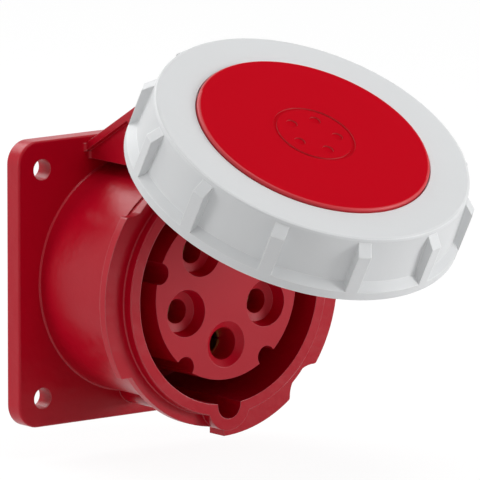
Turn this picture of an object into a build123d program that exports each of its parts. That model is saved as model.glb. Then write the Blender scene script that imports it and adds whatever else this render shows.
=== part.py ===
from build123d import *
from math import asin, atan2, cos, degrees, radians, sin, sqrt, tan
import os

os.makedirs("parts", exist_ok=True)

# Industrial panel socket, five poles, watertight pattern, in millimetres.
# X to the right, Y back into the panel, Z up. The origin is the flange's back face on the socket's axis.
# A depth is measured from the collar's front lip towards the panel, so depth 0 is y = LIP_Y.
# An angle round the axis is measured from six o'clock towards +X.

# flange
FLANGE_SIDE = 75.0
FLANGE_THICK = 5.0
FLANGE_CORNER = 6.0
FLANGE_EDGE = 0.6
HOLE_SPACING = 60.0
HOLE_RADIUS = 2.75

# barrel and collar
BARREL_LENGTH = 40.0
BORE_RADIUS = 29.0
BARREL_WALL = 1.8
BARREL_FRONT_WALL = 1.4
BARREL_STEP_DEPTH = 13.5
BARREL_FOOT = 0.3
LIP_WALL = 3.0
LEDGE_DEPTH = 3.0
RIM_REACH = 3.2
FLOOR_THICK = 3.0
EDGE_BREAK = 0.2

# bayonet wings
WING_REACH = 2.8
WING_ENTRY_THICK = 2.1
WING_RISE = 0.6
WING_CUT_Z = 19.4
WING_START = 0.6
STOP_WIDTH = 4.4
STOP_DEPTH = 9.0
DRIVER_RADIUS = 7.7
DRIVER_CORNER = 1.0

# keyway of the plug
KEY_RADIUS = 3.7
KEY_DROP = 0.2
KEY_BOSS_WALL = 3.1
KEY_CHANNEL_WALL = 1.5

# hinge bracket and pin
HINGE_DEPTH = 17.1
HINGE_Z = 44.5
EYE_RADIUS = 3.7
PIN_RADIUS = 2.0
PIN_INSET = 0.2
PIN_CHAMFER = 0.4
BRACKET_HALF = 15.9
CHEEK_RECESS = 1.6
CHEEK_THICK = 2.5
CHEEK_BOTTOM = 31.5
PLATE_BACK_Z = 35.55
PLATE_THICK = 1.8
CHEEK_FOOT_DEPTH = 21.0
WEB_THICK = 2.4
EYE_GAP = 1.6
KNUCKLE_LENGTH = 5.5
FOOT_FILLET = 1.0

# contact insert
INSERT_RADIUS = 22.8
INSERT_DEPTH = 1.4
INSERT_FIT = 0.2
INSERT_FLANGE = 2.0
INSERT_FLANGE_THICK = 3.0
CONTACT_OFFSET = 13.6
FRONT_WALL_THICK = 7.5
WELL_RADIUS = 6.15
WELL_FLOOR_RADIUS = 5.3
WELL_DEPTH = 3.7
WELL_SINK_DEPTH = 0.6
DISH_RADIUS = 6.05
DISH_DEPTH = 1.5
NOTCH_RADIUS = 2.8
NOTCH_INSET = 0.2

# contacts: pins, slotted sleeve with a thin nose, spring ring, shoulder
PHASE_PIN_RADIUS = 2.5
EARTH_PIN_RADIUS = 3.5
PIN_FIT = 0.05
SLEEVE_WALL = 0.95
NOSE_WALL = 0.6
NOSE_LENGTH = 0.8
NOSE_FIT = 0.05
PIN_HOLE_LENGTH = 25.0
SLOT_WIDTH = 0.7
SLOT_LENGTH = 14.0
SLEEVE_SETBACK = 0.4
SPRING_THICK = 0.4
SPRING_LENGTH = 6.0
SPRING_SETBACK = 2.0
SPRING_GAP_ANGLE = 40.0
SPRING_FIT = 0.05
SHOULDER_WIDTH = 1.7
SHOULDER_THICK = 2.5

# terminals behind the flange
CARRIER_FLANGE_THICK = 3.5
CARRIER_RADIUS = 28.6
CAVITY_FIT = 0.2
TOWER_LENGTH = 18.5
TOWER_WALL = 1.9
HEAD_WIDTH = 0.9
HEAD_LENGTH = 17.0
HEAD_FIT = 0.05
HEAD_SCREW_LENGTH = 4.4
WIRE_RADIUS = 2.3
WIRE_DEPTH = 12.0
CORE_RADIUS = 9.0
TERMINAL_SCREW_RADIUS = 2.0
TERMINAL_SCREW_LENGTH = 5.6
TERMINAL_SCREW_INSET = 10.5
SCREW_FIT = 0.02
SCREW_WINDOW = 0.4
SCREW_SLOT = 0.8
CARRIER_SCREW_RADIUS = 1.5
CARRIER_SCREW_HEAD = 2.7
CARRIER_SCREW_HEAD_THICK = 1.8
CARRIER_SCREW_LENGTH = 7.0
CARRIER_SCREW_INSET = 2.6
CARRIER_SCREW_COUNT = 3
CARRIER_BOSS_WALL = 0.9

# gasket in the flange's back face
GASKET_INNER = 31.5
GASKET_WIDTH = 3.2
GASKET_THICK = 2.0
GASKET_FIT = 0.1

# lid, with heights measured forward from the collar's lip while the lid is shut
LID_OPEN_ANGLE = 60.0
DISC_TOP = 10.0
DISC_RADIUS = 31.2
DISC_THICK = 2.2
DISC_ROUND = 0.8
DISC_STAND = 1.0
DISC_GAP = 0.3
MARK_DEPTH = 0.35
MARK_RING_RADIUS = 11.0
MARK_RING_WIDTH = 0.9
MARK_DOT_RADIUS = 1.5
MARK_DOT_OFFSET = 6.4
SPIGOT_INSET = 2.6
SPIGOT_WALL = 1.5
SPIGOT_LENGTH = 2.6
SPIGOT_FIT = 0.05
HUB_LAP = 3.0
HUB_FIT = 0.3
CAP_THICK = 2.6
RING_PLAY = 0.2
RING_LIP_THICK = 1.6
CAP_DISH_RADIUS = 22.5
CAP_DISH_DEPTH = 1.0
SEAL_WALL = 1.5
SEAL_WALL_REACH = 2.2
SEAL_WIDTH = 5.6
SEAL_FIT = 0.2
SEAL_STAND = 0.3
SEAL_ROUND = 0.7
ARM_HALF = 11.3
ARM_CLEARANCE = 0.4
ARM_THICK = 1.7
ARM_FIT = 0.5
ARM_ROOT_GAP = 0.6
ARM_ROOT_LENGTH = 1.6
ARM_MARGIN_ANGLE = 4.0
ARM_BROW_ANGLE = 55.0
ARM_HEEL_ANGLE = 60.0

# locking ring
RING_TOP_ROUND = 0.8
RING_SKIRT = 1.7
RING_DRAFT = 0.6
RIM_STAND = 2.7
RIM_HEIGHT = 2.5
RIM_SLOPE = 2.0
RING_HEIGHT = 17.5
RIB_COUNT = 12
RIB_PHASE = 15.0
RIB_WIDTH = 3.6
RIB_HEAD_START = 1.3
RIB_HEAD_END = 4.0
LUG_CLEARANCE = 1.0
LUG_THICK = 2.5
LUG_START = 125.0
LUG_ANGLE = 33.0

# how far joined forms reach into each other, how far a cut passes a face, and a length past everything
JOIN = 0.5
CUT = 1.0
BEYOND = 200.0

# places that follow from the sizes above
LIP_Y = -(FLANGE_THICK + BARREL_LENGTH)
HINGE_Y = LIP_Y + HINGE_DEPTH
BARREL_RADIUS = BORE_RADIUS + BARREL_WALL
LIP_RADIUS = BORE_RADIUS + LIP_WALL
RIM_OUTER = LIP_RADIUS + RIM_REACH
WING_RADIUS = RIM_OUTER + WING_REACH
RIM_THICK = WING_ENTRY_THICK + WING_RISE / 2
FLOOR_DEPTH = BARREL_LENGTH - FLOOR_THICK
KEY_Z = -(BORE_RADIUS + KEY_DROP)
INSERT_BACK = BARREL_LENGTH + INSERT_FLANGE_THICK
CHEEK_OUTER = BRACKET_HALF - CHEEK_RECESS
CHEEK_INNER = CHEEK_OUTER - CHEEK_THICK
RING_TOP = DISC_TOP - DISC_STAND
RING_BOTTOM = RING_TOP - RING_HEIGHT
DISC_UNDER = DISC_TOP - DISC_THICK
RING_LIP_TOP = DISC_UNDER - RING_PLAY
RING_LIP_UNDER = RING_LIP_TOP - RING_LIP_THICK
CAP_TOP = RING_LIP_UNDER - RING_PLAY
CAP_UNDER = CAP_TOP - CAP_THICK
ARM_INNER = WING_RADIUS + ARM_CLEARANCE
ARM_OUTER = ARM_INNER + ARM_THICK
RING_INNER = ARM_OUTER + ARM_FIT
RING_TOP_RADIUS = RING_INNER + RING_SKIRT
RIM_RADIUS = RING_TOP_RADIUS + RIM_STAND
LUG_RADIUS = RIM_OUTER + LUG_CLEARANCE
CAP_RADIUS = WING_RADIUS
HUB_RADIUS = DISC_RADIUS - HUB_LAP
SPIGOT_RADIUS = HUB_RADIUS - SPIGOT_INSET
SEAL_INNER = BORE_RADIUS + LIP_WALL / 2 - SEAL_WIDTH / 2
SEAL_OUTER = SEAL_INNER + SEAL_WIDTH

CONTACTS = {
    "earth": (0.0, EARTH_PIN_RADIUS),
    "l1": (72.0, PHASE_PIN_RADIUS),
    "l2": (144.0, PHASE_PIN_RADIUS),
    "l3": (216.0, PHASE_PIN_RADIUS),
    "neutral": (288.0, PHASE_PIN_RADIUS),
}


def polar(radius, angle):
    """Place in the XZ plane, from six o'clock towards +X."""
    return (radius * sin(radians(angle)), -radius * cos(radians(angle)))


def turned(points):
    """Body of revolution round the socket's axis, from (radius, depth) points."""
    outline = Polyline(*[(radius, LIP_Y + depth) for radius, depth in points], close=True)
    return revolve(make_face(outline), Axis.Y, 360)


def slab(sketch, front, back):
    """Flat outline in X and Z, made solid between two depths."""
    return extrude(Plane.XZ.offset(-(LIP_Y + back)) * sketch, amount=back - front)


def tube(outer, inner, front, back):
    """Plain ring round the socket's axis."""
    return turned([(inner, front), (outer, front), (outer, back), (inner, back)])


def rod(radius, front, back, place=(0, 0)):
    """Round bar along the socket's axis."""
    return slab(Pos(place[0], place[1]) * Circle(radius), front, back)


def cross_bar(profile, half_width):
    """Outline in depth and Z, made solid to both sides of the middle plane."""
    return extrude(Plane.YZ * profile, amount=half_width, both=True)


def side_outline(points):
    """Closed outline from (depth, z) points."""
    return make_face(Polyline(*[(LIP_Y + depth, z) for depth, z in points], close=True))


def sector(inner, outer, start, end):
    """Part of a flat ring between two angles."""
    far = CenterArc((0, 0), outer, start - 90, end - start)
    near = CenterArc((0, 0), inner, start - 90, end - start)
    return make_face([far, near, Line(far @ 0, near @ 0), Line(far @ 1, near @ 1)])


def flange():
    """Square front plate with four fixing holes."""
    plate = slab(RectangleRounded(FLANGE_SIDE, FLANGE_SIDE, FLANGE_CORNER), BARREL_LENGTH, -LIP_Y)
    front = plate.faces().sort_by(Axis.Y)[0]
    plate = fillet(front.edges(), FLANGE_EDGE)
    for x in (-1, 1):
        for z in (-1, 1):
            place = (x * HOLE_SPACING / 2, z * HOLE_SPACING / 2)
            plate -= rod(HOLE_RADIUS, BARREL_LENGTH - CUT, CUT - LIP_Y, place)
    return plate


def wing_pair():
    """Two bayonet wings whose backs slope, with a stop block where each one ends."""
    thin = LEDGE_DEPTH + WING_ENTRY_THICK
    slope = degrees(atan2(WING_RISE, WING_RADIUS + WING_CUT_Z))
    wing = tube(WING_RADIUS, BORE_RADIUS + JOIN, LEDGE_DEPTH, STOP_DEPTH)
    wing &= Pos(WING_START, 0, WING_CUT_Z) * Box(
        BEYOND, BEYOND, BEYOND, align=(Align.MIN, Align.CENTER, Align.MAX))
    ramp = Pos(0, LIP_Y + thin, WING_CUT_Z) * Rot(slope, 0, 0) * Box(
        BEYOND, BEYOND, BEYOND, align=(Align.CENTER, Align.MIN, Align.CENTER))
    ramp -= Pos(WING_START + STOP_WIDTH / 2, 0, -WING_RADIUS) * Box(STOP_WIDTH, BEYOND, WING_RADIUS)
    wing -= ramp
    driver = Circle(DRIVER_RADIUS)
    cut = slab(Pos(HOLE_SPACING / 2, -HOLE_SPACING / 2) * driver, LEDGE_DEPTH - CUT, STOP_DEPTH + CUT)
    wing -= cut
    corners = [edge for edge in wing.edges().filter_by(Axis.Y) if on_driver_corner(edge)]
    wing = fillet(corners, DRIVER_CORNER)
    return wing + Rot(0, 180, 0) * wing


def on_driver_corner(edge):
    """True for the two edges where the driver's clearance leaves the wing's outer face."""
    middle = edge.center()
    out = sqrt(middle.X ** 2 + middle.Z ** 2)
    away = sqrt((middle.X - HOLE_SPACING / 2) ** 2 + (middle.Z + HOLE_SPACING / 2) ** 2)
    return abs(out - WING_RADIUS) < 0.01 and abs(away - DRIVER_RADIUS) < 0.01


def hinge_bracket():
    """Sloping top plate on two cheeks with the eyes of the hinge pin, and a rib between them."""
    run = BARREL_LENGTH - HINGE_DEPTH
    drop = HINGE_Z - PLATE_BACK_Z
    slope = atan2(drop, run) + asin(EYE_RADIUS / sqrt(run ** 2 + drop ** 2))
    touch = (HINGE_DEPTH + EYE_RADIUS * sin(slope), HINGE_Z + EYE_RADIUS * cos(slope))
    under = PLATE_THICK / cos(slope)
    eye = Pos(LIP_Y + HINGE_DEPTH, HINGE_Z) * Circle(EYE_RADIUS)
    plate = side_outline([
        touch, (BARREL_LENGTH, PLATE_BACK_Z), (BARREL_LENGTH, PLATE_BACK_Z - under),
        (HINGE_DEPTH, PLATE_BACK_Z - under + (BARREL_LENGTH - HINGE_DEPTH) * tan(slope))])
    chin = (HINGE_DEPTH - EYE_RADIUS * cos(slope), HINGE_Z - EYE_RADIUS * sin(slope))
    cheek = side_outline([
        touch, (BARREL_LENGTH, PLATE_BACK_Z), (BARREL_LENGTH, CHEEK_BOTTOM),
        (CHEEK_FOOT_DEPTH, CHEEK_BOTTOM), chin, (HINGE_DEPTH, HINGE_Z)])
    knuckle_z = touch[1] - (HINGE_DEPTH + KNUCKLE_LENGTH - touch[0]) * tan(slope) - under
    knuckle = side_outline([
        (HINGE_DEPTH, HINGE_Z), (HINGE_DEPTH + KNUCKLE_LENGTH, knuckle_z + JOIN),
        (HINGE_DEPTH + KNUCKLE_LENGTH, knuckle_z),
        (HINGE_DEPTH + EYE_RADIUS * sin(slope), HINGE_Z - EYE_RADIUS * cos(slope))])
    web_front = HINGE_DEPTH + EYE_RADIUS + EYE_GAP + JOIN
    web = side_outline([
        (BARREL_LENGTH, PLATE_BACK_Z), (BARREL_LENGTH, BORE_RADIUS + JOIN), (web_front, BORE_RADIUS + JOIN),
        (web_front, PLATE_BACK_Z + (BARREL_LENGTH - web_front) * tan(slope))])
    bracket = cross_bar(plate + eye, BRACKET_HALF)
    bracket += cross_bar(cheek + eye, CHEEK_OUTER) - cross_bar(cheek + eye, CHEEK_INNER)
    bracket += cross_bar(knuckle, BRACKET_HALF) - cross_bar(knuckle, CHEEK_INNER)
    gap_front = HINGE_DEPTH - EYE_RADIUS - CUT
    gap_back = HINGE_DEPTH + EYE_RADIUS + EYE_GAP
    gap_top = HINGE_Z + EYE_RADIUS + CUT
    gap = side_outline([
        (gap_front, CHEEK_BOTTOM - CUT), (gap_back, CHEEK_BOTTOM - CUT),
        (gap_back, gap_top), (gap_front, gap_top)])
    bracket -= cross_bar(gap, CHEEK_INNER)
    bracket += cross_bar(web, WEB_THICK / 2)
    for side in (-1, 1):
        bracket += foot_fillet(side, BRACKET_HALF, PLATE_BACK_Z - under, PLATE_BACK_Z)
        bracket += foot_fillet(side, CHEEK_OUTER, CHEEK_BOTTOM, PLATE_BACK_Z - under)
    pin_hole = Pos(LIP_Y + HINGE_DEPTH, HINGE_Z) * Circle(PIN_RADIUS + SCREW_FIT)
    return bracket - cross_bar(pin_hole, BRACKET_HALF + CUT)


def foot_fillet(side, out, low, high):
    """Hollow fillet between an upright face of the bracket and the flange."""
    middle = (low + high) / 2
    block = Pos(side * (out + FOOT_FILLET / 2), -FLANGE_THICK - FOOT_FILLET / 2, middle) * Box(
        FOOT_FILLET, FOOT_FILLET, high - low)
    hollow = Pos(side * (out + FOOT_FILLET), -FLANGE_THICK - FOOT_FILLET, middle) * Cylinder(
        FOOT_FILLET, high - low + CUT)
    return block - hollow


def carrier_screw_places():
    """Places of the screws that hold the terminal carrier to the housing."""
    step = 360 / CARRIER_SCREW_COUNT
    radius = CARRIER_RADIUS - CARRIER_SCREW_INSET
    return [polar(radius, step / 4 + step * number) for number in range(CARRIER_SCREW_COUNT)]


def flange_housing():
    """Moulded housing: flange, barrel, collar with its wings, keyway and hinge bracket."""
    front_radius = BORE_RADIUS + BARREL_FRONT_WALL
    rim_back = LEDGE_DEPTH + RIM_THICK
    body = turned([
        (BORE_RADIUS - CUT, EDGE_BREAK), (BORE_RADIUS - CUT, 0), (LIP_RADIUS - EDGE_BREAK, 0),
        (LIP_RADIUS, EDGE_BREAK), (LIP_RADIUS, LEDGE_DEPTH - EDGE_BREAK),
        (LIP_RADIUS + EDGE_BREAK, LEDGE_DEPTH), (RIM_OUTER, LEDGE_DEPTH), (RIM_OUTER, rim_back),
        (front_radius, rim_back), (front_radius, BARREL_STEP_DEPTH), (BARREL_RADIUS, BARREL_STEP_DEPTH),
        (BARREL_RADIUS, BARREL_LENGTH - BARREL_FOOT), (BARREL_RADIUS + BARREL_FOOT, BARREL_LENGTH),
        (BARREL_RADIUS + BARREL_FOOT, BARREL_LENGTH + CUT), (BORE_RADIUS - CUT, BARREL_LENGTH + CUT)])
    body += flange()
    body += wing_pair()
    body += rod(KEY_RADIUS + KEY_BOSS_WALL, 0, STOP_DEPTH, (0, KEY_Z))
    body += rod(KEY_RADIUS + KEY_CHANNEL_WALL, STOP_DEPTH - CUT, BARREL_LENGTH + CUT, (0, KEY_Z))
    body += hinge_bracket()
    body -= rod(BORE_RADIUS, -CUT, FLOOR_DEPTH)
    body -= rod(KEY_RADIUS, -CUT, FLOOR_DEPTH, (0, KEY_Z))
    body += tube(BORE_RADIUS + JOIN, INSERT_RADIUS + INSERT_FIT, FLOOR_DEPTH, BARREL_LENGTH)
    body -= rod(INSERT_RADIUS + INSERT_FIT, FLOOR_DEPTH - CUT, BARREL_LENGTH + CUT)
    cavity = rod(CARRIER_RADIUS + CAVITY_FIT, BARREL_LENGTH, CUT - LIP_Y)
    for place in carrier_screw_places():
        cavity -= rod(CARRIER_SCREW_RADIUS + CARRIER_BOSS_WALL, BARREL_LENGTH - CUT, INSERT_BACK, place)
    body -= cavity
    for place in carrier_screw_places():
        body -= rod(CARRIER_SCREW_RADIUS + SCREW_FIT, FLOOR_DEPTH + CUT, INSERT_BACK + CUT, place)
    groove = tube(GASKET_INNER + GASKET_WIDTH + GASKET_FIT, GASKET_INNER - GASKET_FIT,
                  -LIP_Y - GASKET_THICK, CUT - LIP_Y)
    return body - groove


def sleeve_radius(pin):
    """Outside of a contact sleeve."""
    return pin + PIN_FIT + SLEEVE_WALL


def nose_radius(pin):
    """Thin front end of a contact, which the insert's front wall guides."""
    return pin + PIN_FIT + NOSE_WALL


def shoulder_radius(pin):
    """Shoulder that the insert and the carrier hold between them."""
    return sleeve_radius(pin) + SHOULDER_WIDTH


def head_radius(pin):
    """Terminal end of a contact."""
    return sleeve_radius(pin) + HEAD_WIDTH


def chamber_front(pin):
    """Depth at which a contact's chamber starts."""
    if pin == EARTH_PIN_RADIUS:
        return INSERT_DEPTH + DISH_DEPTH + FRONT_WALL_THICK
    return INSERT_DEPTH + WELL_DEPTH + WELL_SINK_DEPTH + FRONT_WALL_THICK


def funnel(place, front, front_radius, back, back_radius):
    """Tapered hole between two depths, wider at its front."""
    cone = Cone(back_radius, front_radius, back - front, align=(Align.CENTER, Align.CENTER, Align.MIN))
    return Pos(place[0], LIP_Y + back, place[1]) * Rot(90, 0, 0) * cone


def contact_insert():
    """Insulating body with five wells, held behind the housing's floor by its flange."""
    body = rod(INSERT_RADIUS, INSERT_DEPTH, BARREL_LENGTH)
    body += rod(INSERT_RADIUS + INSERT_FLANGE, BARREL_LENGTH, INSERT_BACK)
    for place in carrier_screw_places():
        body -= rod(CARRIER_SCREW_RADIUS + CARRIER_BOSS_WALL + INSERT_FIT, BARREL_LENGTH, INSERT_BACK, place)
    for number in range(len(CONTACTS)):
        place = polar(INSERT_RADIUS - NOTCH_INSET, 36 + 72 * number)
        body -= rod(NOTCH_RADIUS, INSERT_DEPTH - CUT, FLOOR_DEPTH, place)
    for angle, pin in CONTACTS.values():
        place = polar(CONTACT_OFFSET, angle)
        mouth = nose_radius(pin) + NOSE_FIT
        if pin == EARTH_PIN_RADIUS:
            body -= funnel(place, INSERT_DEPTH, DISH_RADIUS, INSERT_DEPTH + DISH_DEPTH, mouth)
        else:
            well_floor = INSERT_DEPTH + WELL_DEPTH
            body -= funnel(place, INSERT_DEPTH, WELL_RADIUS, well_floor, WELL_FLOOR_RADIUS)
            body -= funnel(place, well_floor, WELL_FLOOR_RADIUS, well_floor + WELL_SINK_DEPTH, mouth)
        body -= rod(mouth, INSERT_DEPTH - CUT, chamber_front(pin) + CUT, place)
        body -= rod(shoulder_radius(pin) + HEAD_FIT, chamber_front(pin), INSERT_BACK + CUT, place)
    return body


def contact(angle, pin):
    """Turned brass contact: thin nose, slotted sleeve, shoulder, and terminal end with its wire hole."""
    place = polar(CONTACT_OFFSET, angle)
    front = chamber_front(pin) - NOSE_LENGTH
    back = INSERT_BACK + HEAD_LENGTH
    body = rod(nose_radius(pin), front, INSERT_BACK, place)
    body += rod(sleeve_radius(pin), chamber_front(pin) + SLEEVE_SETBACK, INSERT_BACK, place)
    body += rod(shoulder_radius(pin), INSERT_BACK - SHOULDER_THICK, INSERT_BACK, place)
    body += rod(head_radius(pin), INSERT_BACK, back, place)
    body -= rod(pin + PIN_FIT, front - CUT, front + PIN_HOLE_LENGTH, place)
    body -= rod(WIRE_RADIUS, back - WIRE_DEPTH, back + CUT, place)
    slot = Pos(place[0], LIP_Y + front + SLOT_LENGTH / 2 - CUT, place[1]) * Rot(0, -angle, 0)
    body -= slot * Box(4 * pin, SLOT_LENGTH + 2, SLOT_WIDTH)
    return body - terminal_screw(angle, pin, SCREW_FIT)


def contact_spring(angle, pin):
    """Open steel ring that presses the two fingers of a sleeve together."""
    inner = sleeve_radius(pin) + SPRING_FIT
    front = chamber_front(pin) + SLEEVE_SETBACK + SPRING_SETBACK
    half_gap = SPRING_GAP_ANGLE / 2
    ring = sector(inner, inner + SPRING_THICK, angle + half_gap, angle + 360 - half_gap)
    place = polar(CONTACT_OFFSET, angle)
    return slab(Pos(place[0], place[1]) * ring, front, front + SPRING_LENGTH)


def terminal_screw(angle, pin, extra=0.0):
    """Slotted grub screw that clamps the wire, pointing at the socket's axis."""
    start = CONTACT_OFFSET + head_radius(pin) - HEAD_SCREW_LENGTH
    depth = INSERT_BACK + TERMINAL_SCREW_INSET
    screw = Cylinder(TERMINAL_SCREW_RADIUS + extra, TERMINAL_SCREW_LENGTH,
                     align=(Align.CENTER, Align.CENTER, Align.MIN))
    if extra == 0.0:
        slot = Box(3 * TERMINAL_SCREW_RADIUS, SCREW_SLOT, SCREW_SLOT)
        screw -= Pos(0, 0, TERMINAL_SCREW_LENGTH - SCREW_SLOT / 2) * slot
    return Rot(0, -angle, 0) * Pos(0, LIP_Y + depth, -start) * Rot(180, 0, 0) * screw


def terminal_screws():
    """The five clamping screws."""
    return [terminal_screw(angle, pin) for angle, pin in CONTACTS.values()]


def contact_carrier():
    """Rear insulating body: a flange behind the insert and a tower round each terminal."""
    flange_back = INSERT_BACK + CARRIER_FLANGE_THICK
    body = rod(CARRIER_RADIUS, INSERT_BACK, flange_back)
    body += rod(CORE_RADIUS, flange_back, INSERT_BACK + TOWER_LENGTH)
    for angle, pin in CONTACTS.values():
        place = polar(CONTACT_OFFSET, angle)
        body += rod(head_radius(pin) + TOWER_WALL, flange_back, INSERT_BACK + TOWER_LENGTH, place)
    for angle, pin in CONTACTS.values():
        place = polar(CONTACT_OFFSET, angle)
        body -= rod(head_radius(pin) + HEAD_FIT, INSERT_BACK - CUT, INSERT_BACK + TOWER_LENGTH + CUT, place)
        window = Cylinder(TERMINAL_SCREW_RADIUS + SCREW_WINDOW, CONTACT_OFFSET,
                          align=(Align.CENTER, Align.CENTER, Align.MIN))
        depth = INSERT_BACK + TERMINAL_SCREW_INSET
        body -= Rot(0, -angle, 0) * Pos(0, LIP_Y + depth, -CONTACT_OFFSET) * Rot(180, 0, 0) * window
    for place in carrier_screw_places():
        body -= rod(CARRIER_SCREW_RADIUS + SCREW_WINDOW, INSERT_BACK - CUT, flange_back + CUT, place)
    return body


def carrier_screws():
    """The screws through the carrier's flange into the housing's bosses."""
    seat = INSERT_BACK + CARRIER_FLANGE_THICK
    screws = []
    for place in carrier_screw_places():
        screw = rod(CARRIER_SCREW_RADIUS, seat - CARRIER_SCREW_LENGTH, seat + JOIN, place)
        screw += rod(CARRIER_SCREW_HEAD, seat, seat + CARRIER_SCREW_HEAD_THICK, place)
        slot_depth = seat + CARRIER_SCREW_HEAD_THICK - SCREW_SLOT / 2
        slot = Box(3 * CARRIER_SCREW_HEAD, SCREW_SLOT, SCREW_SLOT)
        screw -= Pos(place[0], LIP_Y + slot_depth, place[1]) * slot
        screws.append(screw)
    return screws


def flange_gasket():
    """Rubber ring in the groove of the flange's back face."""
    return tube(GASKET_INNER + GASKET_WIDTH, GASKET_INNER, -LIP_Y - GASKET_THICK, -LIP_Y)


def hinge_pin():
    """Steel pin through the bracket's eyes and the lid's arm."""
    pin = cross_bar(Pos(LIP_Y + HINGE_DEPTH, HINGE_Z) * Circle(PIN_RADIUS), BRACKET_HALF - PIN_INSET)
    ends = pin.faces().sort_by(Axis.X)
    return chamfer(ends[0].edges() + ends[-1].edges(), PIN_CHAMFER)


def opened(solid):
    """Turn a piece of the lid from shut to the open pose."""
    return solid.rotate(Axis((0, HINGE_Y, HINGE_Z), (1, 0, 0)), -LID_OPEN_ANGLE)


def lid_disc():
    """Cover disc with a rounded edge, a spigot underneath and a pin layout mark sunk in its face."""
    body = turned([
        (0, -DISC_TOP), (DISC_RADIUS, -DISC_TOP), (DISC_RADIUS, -DISC_UNDER), (0, -DISC_UNDER)])
    face = body.faces().sort_by(Axis.Y)[0]
    body = fillet(face.edges(), DISC_ROUND)
    body += tube(SPIGOT_RADIUS - SPIGOT_FIT, SPIGOT_RADIUS - SPIGOT_WALL + SPIGOT_FIT,
                 -DISC_UNDER, SPIGOT_LENGTH - DISC_UNDER)
    mark = Circle(MARK_RING_RADIUS) - Circle(MARK_RING_RADIUS - MARK_RING_WIDTH)
    for number in range(len(CONTACTS)):
        mark += Pos(*polar(MARK_DOT_OFFSET, 72 * number)) * Circle(MARK_DOT_RADIUS)
    body -= slab(mark, -DISC_TOP - CUT, MARK_DEPTH - DISC_TOP)
    return body


def lid_cap():
    """Base of the lid: plate, hub for the ring, walls of the seal, and the arm with its eye."""
    body = turned([(0, -CAP_TOP), (CAP_RADIUS, -CAP_TOP), (CAP_RADIUS, -CAP_UNDER), (0, -CAP_UNDER)])
    body += rod(HUB_RADIUS, -DISC_UNDER, -CAP_UNDER - CUT)
    body -= tube(SPIGOT_RADIUS, SPIGOT_RADIUS - SPIGOT_WALL, -DISC_UNDER - CUT,
                 SPIGOT_LENGTH + SPIGOT_FIT - DISC_UNDER)
    body -= rod(CAP_DISH_RADIUS, -CAP_UNDER - CAP_DISH_DEPTH, CUT - CAP_UNDER)
    body += tube(SEAL_INNER - SEAL_FIT, SEAL_INNER - SEAL_FIT - SEAL_WALL,
                 -CAP_UNDER - JOIN, SEAL_WALL_REACH - CAP_UNDER)
    body += tube(SEAL_OUTER + SEAL_FIT + SEAL_WALL, SEAL_OUTER + SEAL_FIT,
                 -CAP_UNDER - JOIN, SEAL_WALL_REACH - CAP_UNDER)
    root = STOP_DEPTH + ARM_ROOT_GAP
    half_angle = degrees(asin(ARM_HALF / ARM_OUTER)) + ARM_MARGIN_ANGLE
    band = slab(sector(ARM_INNER, ARM_OUTER, 180 - half_angle, 180 + half_angle), -CAP_TOP,
                root + ARM_ROOT_LENGTH)
    band += slab(sector(CAP_RADIUS - ARM_THICK, ARM_OUTER, 180 - half_angle, 180 + half_angle), -CAP_TOP,
                 -CAP_UNDER)
    body += band & Box(2 * ARM_HALF, BEYOND, BEYOND)
    low = sqrt(ARM_INNER ** 2 - ARM_HALF ** 2)
    brow = (HINGE_DEPTH - EYE_RADIUS * cos(radians(ARM_BROW_ANGLE)),
            HINGE_Z + EYE_RADIUS * sin(radians(ARM_BROW_ANGLE)))
    heel = (HINGE_DEPTH + EYE_RADIUS * cos(radians(ARM_HEEL_ANGLE)),
            HINGE_Z - EYE_RADIUS * sin(radians(ARM_HEEL_ANGLE)))
    link = side_outline([(root, low), (root, ARM_OUTER), brow, (HINGE_DEPTH, HINGE_Z), heel])
    eye = Pos(LIP_Y + HINGE_DEPTH, HINGE_Z) * Circle(EYE_RADIUS)
    body += cross_bar(link + eye, ARM_HALF)
    pin_hole = Pos(LIP_Y + HINGE_DEPTH, HINGE_Z) * Circle(PIN_RADIUS + PIN_FIT)
    return body - cross_bar(pin_hole, ARM_HALF + CUT)


def lid_gasket():
    """Rubber seal that meets the collar's lip."""
    ring = tube(SEAL_OUTER, SEAL_INNER, -CAP_UNDER, -SEAL_STAND)
    face = ring.faces().sort_by(Axis.Y)[-1]
    return fillet(face.edges(), SEAL_ROUND)


def ring_rib(angle):
    """Grip rib with a sloping head, flush with the rim at its foot."""
    foot = RING_INNER + RING_SKIRT / 2
    outline = Polyline(
        (LIP_Y - RING_TOP + RIB_HEAD_START, foot), (LIP_Y - RING_TOP + RIB_HEAD_START, RING_TOP_RADIUS),
        (LIP_Y - RING_TOP + RIB_HEAD_END, RIM_RADIUS), (LIP_Y - RING_BOTTOM - RIM_HEIGHT, RIM_RADIUS),
        (LIP_Y - RING_BOTTOM - RIM_HEIGHT, foot), close=True)
    blade = extrude(Plane.YZ * make_face(outline), amount=RIB_WIDTH / 2, both=True)
    return Rot(0, angle, 0) * blade


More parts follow.
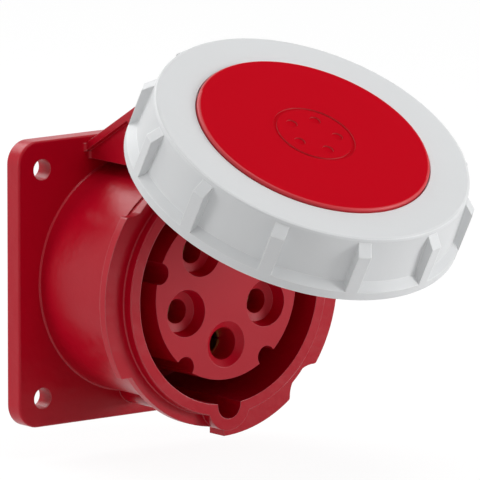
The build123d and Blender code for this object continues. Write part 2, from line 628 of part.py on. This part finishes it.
def locking_ring():
    """Bayonet ring with grip ribs outside and two lugs inside."""
    top = -RING_TOP
    bottom = -RING_BOTTOM
    body = turned([
        (HUB_RADIUS + HUB_FIT, -RING_LIP_TOP), (DISC_RADIUS + DISC_GAP, -RING_LIP_TOP),
        (DISC_RADIUS + DISC_GAP, top), (RING_TOP_RADIUS - RING_TOP_ROUND, top),
        (RING_TOP_RADIUS - 0.3 * RING_TOP_ROUND, top + 0.3 * RING_TOP_ROUND),
        (RING_TOP_RADIUS, top + RING_TOP_ROUND),
        (RING_TOP_RADIUS + RING_DRAFT, bottom - RIM_HEIGHT - RIM_SLOPE),
        (RIM_RADIUS, bottom - RIM_HEIGHT), (RIM_RADIUS, bottom - EDGE_BREAK),
        (RIM_RADIUS - EDGE_BREAK, bottom), (RING_INNER, bottom),
        (RING_INNER, -RING_LIP_UNDER), (HUB_RADIUS + HUB_FIT, -RING_LIP_UNDER)])
    for number in range(RIB_COUNT):
        body += ring_rib(RIB_PHASE + number * 360 / RIB_COUNT)
    for turn in (0, 180):
        lug = sector(LUG_RADIUS, RING_INNER + RING_SKIRT / 2, LUG_START + turn, LUG_START + LUG_ANGLE + turn)
        body += slab(lug, bottom - LUG_THICK, bottom)
    return body


def save(name, shape):
    """Write one node's solids."""
    solids = shape if isinstance(shape, list) else [shape]
    pieces = [solid for item in solids for solid in item.solids()]
    whole = pieces[0] if len(pieces) == 1 else Compound(children=pieces)
    export_step(whole, os.path.join("parts", name + ".step"))


save("flange_housing", flange_housing())
save("contact_insert", contact_insert())
save("contact_carrier", contact_carrier())
for contact_name, (contact_angle, contact_pin) in CONTACTS.items():
    save("contact_" + contact_name, contact(contact_angle, contact_pin))
    save("contact_spring_" + contact_name, contact_spring(contact_angle, contact_pin))
save("terminal_screws", terminal_screws())
save("carrier_screws", carrier_screws())
save("flange_gasket", flange_gasket())
save("hinge_pin", hinge_pin())
save("lid_cap", opened(lid_cap()))
save("lid_disc", opened(lid_disc()))
save("lid_gasket", opened(lid_gasket()))
save("locking_ring", opened(locking_ring()))
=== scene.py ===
import bpy
import bmesh
from math import cos, radians, sin
from mathutils import Matrix, Vector

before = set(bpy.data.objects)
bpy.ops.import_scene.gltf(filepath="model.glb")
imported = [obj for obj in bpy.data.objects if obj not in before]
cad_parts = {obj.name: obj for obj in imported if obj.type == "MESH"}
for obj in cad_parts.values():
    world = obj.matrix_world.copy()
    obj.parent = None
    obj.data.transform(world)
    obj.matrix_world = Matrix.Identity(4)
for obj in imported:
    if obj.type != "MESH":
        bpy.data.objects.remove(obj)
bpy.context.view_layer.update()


# The table and its light. The socket is held, as on its panel, over a wide sheet of white paper
# that the shut ring just clears. One large soft box hangs above it, two stand at its left and
# right, and one behind it lights the upper edges.
FLOOR_HEIGHT = -0.046
SHEET_HALF = 12.0
PAPER_TONES = ((0.80, 0.80, 0.80, 1), (0.84, 0.84, 0.84, 1))
FIBRE_SIZE = 300.0
PAPER_GLOW = 1.08
GLOW_SHARE = 0.86
ROOM_LIGHT = 0.29


def soft_box(name, place, aim, size, power):
    """Area lamp that points from its place at an aim."""
    lamp = bpy.data.lights.new(name, "AREA")
    lamp.shape = "RECTANGLE"
    lamp.size = size[0]
    lamp.size_y = size[1]
    lamp.energy = power
    holder = bpy.data.objects.new(name, lamp)
    holder.matrix_world = Matrix.Translation(place) @ (
        Vector(place) - Vector(aim)).to_track_quat("Z", "Y").to_matrix().to_4x4()
    bpy.context.scene.collection.objects.link(holder)


def looked_at(tree):
    """Value that is 1 where the camera, a reflection or a clear view meets the surface."""
    path = tree.nodes.new("ShaderNodeLightPath")
    first = tree.nodes.new("ShaderNodeMath")
    first.operation = "MAXIMUM"
    tree.links.new(path.outputs["Is Camera Ray"], first.inputs[0])
    tree.links.new(path.outputs["Is Glossy Ray"], first.inputs[1])
    second = tree.nodes.new("ShaderNodeMath")
    second.operation = "MAXIMUM"
    tree.links.new(first.outputs["Value"], second.inputs[0])
    tree.links.new(path.outputs["Is Transmission Ray"], second.inputs[1])
    return second.outputs["Value"]


paper = bpy.data.materials.new("white_paper")
paper.use_nodes = True
tree = paper.node_tree
paper_shader = tree.nodes["Principled BSDF"]
paper_shader.inputs["Roughness"].default_value = 0.9
paper_shader.inputs["Specular IOR Level"].default_value = 0.0
fibre = tree.nodes.new("ShaderNodeTexNoise")
fibre.inputs["Scale"].default_value = FIBRE_SIZE
where = tree.nodes.new("ShaderNodeTexCoord")
tree.links.new(where.outputs["Object"], fibre.inputs["Vector"])
paper_tone = tree.nodes.new("ShaderNodeMix")
paper_tone.data_type = "RGBA"
paper_tone.inputs["A"].default_value = PAPER_TONES[0]
paper_tone.inputs["B"].default_value = PAPER_TONES[1]
tree.links.new(fibre.outputs["Fac"], paper_tone.inputs["Factor"])
tree.links.new(paper_tone.outputs["Result"], paper_shader.inputs["Base Color"])
glow = tree.nodes.new("ShaderNodeEmission")
glow.inputs["Strength"].default_value = PAPER_GLOW
share = tree.nodes.new("ShaderNodeMath")
share.operation = "MULTIPLY"
share.inputs[1].default_value = GLOW_SHARE
tree.links.new(looked_at(tree), share.inputs[0])
blend = tree.nodes.new("ShaderNodeMixShader")
tree.links.new(share.outputs["Value"], blend.inputs["Fac"])
tree.links.new(paper_shader.outputs["BSDF"], blend.inputs[1])
tree.links.new(glow.outputs["Emission"], blend.inputs[2])
tree.links.new(blend.outputs["Shader"], tree.nodes["Material Output"].inputs["Surface"])

sheet_mesh = bpy.data.meshes.new("paper_sheet")
sheet_form = bmesh.new()
bmesh.ops.create_grid(sheet_form, x_segments=2, y_segments=2, size=SHEET_HALF)
bmesh.ops.translate(sheet_form, verts=sheet_form.verts, vec=(0, 0, FLOOR_HEIGHT))
sheet_form.to_mesh(sheet_mesh)
sheet_form.free()
sheet = bpy.data.objects.new("paper_sheet", sheet_mesh)
sheet_mesh.materials.append(paper)
bpy.context.scene.collection.objects.link(sheet)

studio = bpy.data.worlds.new("studio")
bpy.context.scene.world = studio
studio.use_nodes = True
tree = studio.node_tree
room = tree.nodes["Background"]
room.inputs["Color"].default_value = (1.0, 1.0, 1.0, 1)
room.inputs["Strength"].default_value = ROOM_LIGHT
white = tree.nodes.new("ShaderNodeBackground")
white.inputs["Color"].default_value = (1.0, 1.0, 1.0, 1)
white.inputs["Strength"].default_value = 1.0
blend = tree.nodes.new("ShaderNodeMixShader")
tree.links.new(looked_at(tree), blend.inputs["Fac"])
tree.links.new(room.outputs["Background"], blend.inputs[1])
tree.links.new(white.outputs["Background"], blend.inputs[2])
tree.links.new(blend.outputs["Shader"], tree.nodes["World Output"].inputs["Surface"])

soft_box("overhead_box", (-0.05, -0.27, 0.78), (0, -0.04, 0.02), (0.6, 0.5), 2.75)
soft_box("left_box", (-0.80, 0.40, 0.15), (0, -0.03, 0), (0.35, 0.6), 2.7)
soft_box("right_box", (0.60, -0.70, 0.05), (0, -0.03, 0), (0.30, 0.5), 5.0)
soft_box("rear_box", (-0.10, 0.62, 0.53), (-0.01, -0.03, 0.02), (0.50, 0.35), 2.2)

bpy.context.scene.view_settings.view_transform = "Standard"


# The camera. A long lens looks from the left and a little above, so the flange shows its
# face and the lid its top, nearly without perspective.
VIEW_AZIMUTH = radians(-38.2)
VIEW_ELEVATION = radians(9.6)
VIEW_TARGET = Vector((0.00356, -0.0449, 0.0134))
VIEW_DISTANCE = 2.9
VIEW_WIDTH = 0.12346
FILM_WIDTH = 36.0
FAR_LIMIT = 20.0

towards_camera = Vector((sin(VIEW_AZIMUTH) * cos(VIEW_ELEVATION),
                         -cos(VIEW_AZIMUTH) * cos(VIEW_ELEVATION), sin(VIEW_ELEVATION)))
lens = bpy.data.cameras.new("long_lens")
lens.sensor_width = FILM_WIDTH
lens.lens = FILM_WIDTH * VIEW_DISTANCE / VIEW_WIDTH
lens.clip_end = FAR_LIMIT
camera = bpy.data.objects.new("camera", lens)
camera.matrix_world = Matrix.Translation(VIEW_TARGET + towards_camera * VIEW_DISTANCE) @ (
    towards_camera.to_track_quat("Z", "Y").to_matrix().to_4x4())
bpy.context.scene.collection.objects.link(camera)
bpy.context.scene.camera = camera


# The housing. One moulding in glossy red polyamide: the square flange, the barrel, the collar
# with its wings and keyway, and the bracket that carries the lid. It is screwed to a panel.
HOUSING_RED = (0.47, 0.0006, 0.014)
FLOW_SIZE = 45.0
PATCH_SIZE = 120.0
WAVE_DEPTH = 0.0006
GRAIN_DEPTH = 0.00004
EDGE_TURN_START = 0.998
EDGE_TURN_FULL = 0.93


def moulded_skin_and_painted_edges():
    """Moulding's marks: flow, waves, grain and dull patches; and soft edges with a painted
    highlight.
    """
    group = bpy.data.node_groups.new("moulded_skin_and_painted_edges", "ShaderNodeTree")
    for name in ("Gloss", "Gloss Change", "Grain Size", "Grain Height", "Flow", "Waves",
                 "Shine", "Edge Shine", "Edge Width", "Painted Edge Highlight"):
        group.interface.new_socket(name=name, in_out="INPUT", socket_type="NodeSocketFloat")
    group.interface.new_socket(name="Colour", in_out="INPUT", socket_type="NodeSocketColor")
    group.interface.new_socket(name="Colour", in_out="OUTPUT", socket_type="NodeSocketColor")
    group.interface.new_socket(name="Roughness", in_out="OUTPUT", socket_type="NodeSocketFloat")
    group.interface.new_socket(name="Shine", in_out="OUTPUT", socket_type="NodeSocketFloat")
    group.interface.new_socket(name="Normal", in_out="OUTPUT", socket_type="NodeSocketVector")
    nodes = group.nodes
    links = group.links
    given = nodes.new("NodeGroupInput")
    made = nodes.new("NodeGroupOutput")
    place = nodes.new("ShaderNodeTexCoord")

    # Slow shading of the colour, where the melt flowed.
    flow = nodes.new("ShaderNodeTexNoise")
    flow.inputs["Scale"].default_value = FLOW_SIZE
    flow.inputs["Detail"].default_value = 3.0
    links.new(place.outputs["Object"], flow.inputs["Vector"])
    swing = nodes.new("ShaderNodeMapRange")
    swing.inputs["To Min"].default_value = -1.0
    links.new(flow.outputs["Fac"], swing.inputs["Value"])
    shade = nodes.new("ShaderNodeMath")
    shade.operation = "MULTIPLY_ADD"
    shade.inputs[2].default_value = 1.0
    links.new(swing.outputs["Result"], shade.inputs[0])
    links.new(given.outputs["Flow"], shade.inputs[1])
    tint = nodes.new("ShaderNodeVectorMath")
    tint.operation = "SCALE"
    links.new(given.outputs["Colour"], tint.inputs[0])
    links.new(shade.outputs["Value"], tint.inputs["Scale"])

    # Edges: rounded to the eye and glossier where the form turns, and painted paler there as a
    # highlight.
    soft_edge = nodes.new("ShaderNodeBevel")
    soft_edge.samples = 6
    links.new(given.outputs["Edge Width"], soft_edge.inputs["Radius"])
    surface = nodes.new("ShaderNodeNewGeometry")
    turned = nodes.new("ShaderNodeVectorMath")
    turned.operation = "DOT_PRODUCT"
    links.new(soft_edge.outputs["Normal"], turned.inputs[0])
    links.new(surface.outputs["Normal"], turned.inputs[1])
    edge = nodes.new("ShaderNodeMapRange")
    edge.inputs["From Min"].default_value = EDGE_TURN_START
    edge.inputs["From Max"].default_value = EDGE_TURN_FULL
    links.new(turned.outputs["Value"], edge.inputs["Value"])
    shine = nodes.new("ShaderNodeMath")
    shine.operation = "MULTIPLY_ADD"
    links.new(edge.outputs["Result"], shine.inputs[0])
    links.new(given.outputs["Edge Shine"], shine.inputs[1])
    links.new(given.outputs["Shine"], shine.inputs[2])
    links.new(shine.outputs["Value"], made.inputs["Shine"])
    # Painted highlight: along the turned edges the colour is mixed towards white, by the amount
    # given for the edges.
    edge_highlight_amount = nodes.new("ShaderNodeMath")
    edge_highlight_amount.operation = "MULTIPLY"
    links.new(edge.outputs["Result"], edge_highlight_amount.inputs[0])
    links.new(given.outputs["Painted Edge Highlight"], edge_highlight_amount.inputs[1])
    painted_highlight = nodes.new("ShaderNodeMix")
    painted_highlight.data_type = "RGBA"
    painted_highlight.inputs["B"].default_value = (1, 1, 1, 1)
    links.new(edge_highlight_amount.outputs["Value"], painted_highlight.inputs["Factor"])
    links.new(tint.outputs["Vector"], painted_highlight.inputs["A"])
    links.new(painted_highlight.outputs["Result"], made.inputs["Colour"])

    # Patches of more and less gloss.
    patches = nodes.new("ShaderNodeTexNoise")
    patches.inputs["Scale"].default_value = PATCH_SIZE
    patches.inputs["Detail"].default_value = 4.0
    links.new(place.outputs["Object"], patches.inputs["Vector"])
    dull = nodes.new("ShaderNodeMapRange")
    dull.inputs["To Min"].default_value = -1.0
    links.new(patches.outputs["Fac"], dull.inputs["Value"])
    rough = nodes.new("ShaderNodeMath")
    rough.operation = "MULTIPLY_ADD"
    links.new(dull.outputs["Result"], rough.inputs[0])
    links.new(given.outputs["Gloss Change"], rough.inputs[1])
    links.new(given.outputs["Gloss"], rough.inputs[2])
    links.new(rough.outputs["Value"], made.inputs["Roughness"])

    # Fine grain on shallow waves.
    grain = nodes.new("ShaderNodeTexNoise")
    grain.inputs["Detail"].default_value = 2.0
    links.new(place.outputs["Object"], grain.inputs["Vector"])
    links.new(given.outputs["Grain Size"], grain.inputs["Scale"])
    waves = nodes.new("ShaderNodeBump")
    waves.inputs["Distance"].default_value = WAVE_DEPTH
    links.new(given.outputs["Waves"], waves.inputs["Strength"])
    links.new(patches.outputs["Fac"], waves.inputs["Height"])
    links.new(soft_edge.outputs["Normal"], waves.inputs["Normal"])
    bump = nodes.new("ShaderNodeBump")
    bump.inputs["Distance"].default_value = GRAIN_DEPTH
    links.new(given.outputs["Grain Height"], bump.inputs["Strength"])
    links.new(grain.outputs["Fac"], bump.inputs["Height"])
    links.new(waves.outputs["Normal"], bump.inputs["Normal"])
    links.new(bump.outputs["Normal"], made.inputs["Normal"])
    return group


skin_group = moulded_skin_and_painted_edges()


def moulded_plastic(name, colour, marks):
    """Plastic whose colour, gloss and grain come from the moulded skin, its edges painted paler as
    highlights.
    """
    material = bpy.data.materials.new(name)
    material.use_nodes = True
    nodes = material.node_tree.nodes
    links = material.node_tree.links
    shader = nodes["Principled BSDF"]
    skin = nodes.new("ShaderNodeGroup")
    skin.name = "skin"
    skin.node_tree = skin_group
    skin.inputs["Colour"].default_value = (*colour, 1)
    for mark, value in marks.items():
        skin.inputs[mark].default_value = value
    links.new(skin.outputs["Colour"], shader.inputs["Base Color"])
    links.new(skin.outputs["Roughness"], shader.inputs["Roughness"])
    links.new(skin.outputs["Shine"], shader.inputs["Specular IOR Level"])
    links.new(skin.outputs["Normal"], shader.inputs["Normal"])
    return material


def dress(node, material):
    """Give a CAD node its finish."""
    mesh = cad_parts[node].data
    mesh.materials.clear()
    mesh.materials.append(material)


# The housing's edges are painted a touch paler, a painted highlight.
housing_plastic = moulded_plastic("red_housing", HOUSING_RED, {
    "Gloss": 0.31, "Gloss Change": 0.04, "Grain Size": 2600, "Grain Height": 0.05, "Flow": 0.03,
    "Waves": 0.5, "Shine": 0.22, "Edge Shine": 0.5, "Edge Width": 0.0003, "Painted Edge Highlight": 0.04})
dress("flange_housing", housing_plastic)


# The contact insert. Red polyamide, a little duller than the housing, with the wells that
# shield the contacts. It is pushed in from behind until its flange meets the housing's step.
INSERT_RED = (0.46, 0.0006, 0.014)

# The insert's edges are painted a touch paler, a painted highlight.
insert_plastic = moulded_plastic("red_insert", INSERT_RED, {
    "Gloss": 0.42, "Gloss Change": 0.04, "Grain Size": 2600, "Grain Height": 0.12, "Flow": 0.03,
    "Waves": 0.1, "Shine": 0.22, "Edge Shine": 0.5, "Edge Width": 0.0002, "Painted Edge Highlight": 0.02})
dress("contact_insert", insert_plastic)


# The contact carrier. The same red polyamide as the insert, moulded with a tower round each
# terminal. Three screws clamp it and the insert to the housing from behind.
dress("contact_carrier", insert_plastic)


# The contacts. Turned brass with a slotted sleeve for the plug's pin and a bored end for the
# wire, held at their shoulders between the insert and the carrier.
BRASS = (0.62, 0.43, 0.14)
LINE_STRETCH = 40.0
LINE_SIZE = 220.0
LINE_SHADE = 0.86
LINE_DEPTH = 0.00003
POLISH_RANGE = (0.8, 1.25)


def turned_metal(name, colour, rough, line_height):
    """Bare metal with fine turning lines across it."""
    material = bpy.data.materials.new(name)
    material.use_nodes = True
    nodes = material.node_tree.nodes
    links = material.node_tree.links
    shader = nodes["Principled BSDF"]
    shader.inputs["Metallic"].default_value = 1.0
    place = nodes.new("ShaderNodeTexCoord")
    stretch = nodes.new("ShaderNodeMapping")
    stretch.inputs["Scale"].default_value = (1, LINE_STRETCH, 1)
    links.new(place.outputs["Object"], stretch.inputs["Vector"])
    lines = nodes.new("ShaderNodeTexNoise")
    lines.inputs["Scale"].default_value = LINE_SIZE
    lines.inputs["Detail"].default_value = 3.0
    links.new(stretch.outputs["Vector"], lines.inputs["Vector"])
    tone = nodes.new("ShaderNodeMix")
    tone.data_type = "RGBA"
    tone.inputs["A"].default_value = (*[value * LINE_SHADE for value in colour], 1)
    tone.inputs["B"].default_value = (*colour, 1)
    links.new(lines.outputs["Fac"], tone.inputs["Factor"])
    links.new(tone.outputs["Result"], shader.inputs["Base Color"])
    polish = nodes.new("ShaderNodeMapRange")
    polish.inputs["To Min"].default_value = rough * POLISH_RANGE[0]
    polish.inputs["To Max"].default_value = rough * POLISH_RANGE[1]
    links.new(lines.outputs["Fac"], polish.inputs["Value"])
    links.new(polish.outputs["Result"], shader.inputs["Roughness"])
    bump = nodes.new("ShaderNodeBump")
    bump.inputs["Distance"].default_value = LINE_DEPTH
    bump.inputs["Strength"].default_value = line_height
    links.new(lines.outputs["Fac"], bump.inputs["Height"])
    links.new(bump.outputs["Normal"], shader.inputs["Normal"])
    return material


brass = turned_metal("turned_brass", BRASS, 0.30, 0.15)
CONTACTS = ("earth", "l1", "l2", "l3", "neutral")
for contact in CONTACTS:
    dress("contact_" + contact, brass)


# The contact springs. Open rings of bright spring steel, snapped round the slotted end of each
# sleeve so that its fingers grip the pin.
SPRING_STEEL = (0.56, 0.57, 0.58)

spring_steel = turned_metal("spring_steel", SPRING_STEEL, 0.22, 0.1)
for contact in CONTACTS:
    dress("contact_spring_" + contact, spring_steel)


# The screws. Zinc plated steel with slots: five grub screws in the carrier's towers clamp the
# wires, and three screws with heads hold the carrier to the housing.
ZINC = (0.60, 0.61, 0.62)

zinc = turned_metal("zinc_plated", ZINC, 0.32, 0.2)
dress("terminal_screws", zinc)
dress("carrier_screws", zinc)


# The hinge pin. A straight zinc plated steel pin, pushed through the bracket's ears and the
# eye of the lid's arm.
dress("hinge_pin", zinc)


# The gaskets. Black rubber rings: one in the flange's back face against the panel, one in the
# lid against the collar's lip.
RUBBER_BLACK = (0.012, 0.012, 0.013)

# The rubber's edges are painted a touch paler, a painted highlight.
rubber = moulded_plastic("black_rubber", RUBBER_BLACK, {
    "Gloss": 0.62, "Gloss Change": 0.08, "Grain Size": 1800, "Grain Height": 0.4, "Flow": 0.2,
    "Waves": 0.3, "Shine": 0.4, "Edge Shine": 0.1, "Edge Width": 0.0003, "Painted Edge Highlight": 0.01})
dress("flange_gasket", rubber)
dress("lid_gasket", rubber)


# The lid's cap. The same red as the housing: a plate with a hub for the ring, the walls of the
# seal, and the arm that turns on the hinge pin.
dress("lid_cap", housing_plastic)


# The locking ring. Pale grey polyamide with grip ribs; it turns on the hub and its lugs pull
# the lid down behind the collar's wings.
RING_GREY = (0.73, 0.742, 0.75)

# The ring's edges are painted half way to white, a painted highlight.
ring_plastic = moulded_plastic("grey_ring", RING_GREY, {
    "Gloss": 0.4, "Gloss Change": 0.04, "Grain Size": 2200, "Grain Height": 0.1, "Flow": 0.015,
    "Waves": 0.2, "Shine": 0.3, "Edge Shine": 0.5, "Edge Width": 0.0004, "Painted Edge Highlight": 0.5})
dress("locking_ring", ring_plastic)


# The lid's disc. Satin red plastic snapped into the hub over the ring, with a round mark sunk
# in its face. The face is dull and the rounded rim is glossy.
DISC_RED = (0.545, 0.0004, 0.0095)
LID_ANGLE = radians(60)
DISC_SHINE = 0.02
RIM_SHINE = 0.7
RIM_TURN_START = 0.99
RIM_TURN_FULL = 0.90

disc_plastic = moulded_plastic("red_disc", DISC_RED, {
    "Gloss": 0.5, "Gloss Change": 0.03, "Grain Size": 3000, "Grain Height": 0.06, "Flow": 0.012,
    "Waves": 0.0, "Edge Shine": 0.0, "Edge Width": 0.0003, "Painted Edge Highlight": 0.0})
tree = disc_plastic.node_tree
facing = tree.nodes.new("ShaderNodeTexCoord")
slope = tree.nodes.new("ShaderNodeVectorMath")
slope.operation = "DOT_PRODUCT"
slope.inputs[1].default_value = (0, -cos(LID_ANGLE), sin(LID_ANGLE))
tree.links.new(facing.outputs["Normal"], slope.inputs[0])
rim_gloss = tree.nodes.new("ShaderNodeMapRange")
rim_gloss.inputs["From Min"].default_value = RIM_TURN_START
rim_gloss.inputs["From Max"].default_value = RIM_TURN_FULL
rim_gloss.inputs["To Min"].default_value = DISC_SHINE
rim_gloss.inputs["To Max"].default_value = RIM_SHINE
tree.links.new(slope.outputs["Value"], rim_gloss.inputs["Value"])
tree.links.new(rim_gloss.outputs["Result"], tree.nodes["skin"].inputs["Shine"])
dress("lid_disc", disc_plastic)


# Smooth shading on every piece, so that its round faces show no facets.
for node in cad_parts.values():
    for face in node.data.polygons:
        face.use_smooth = True
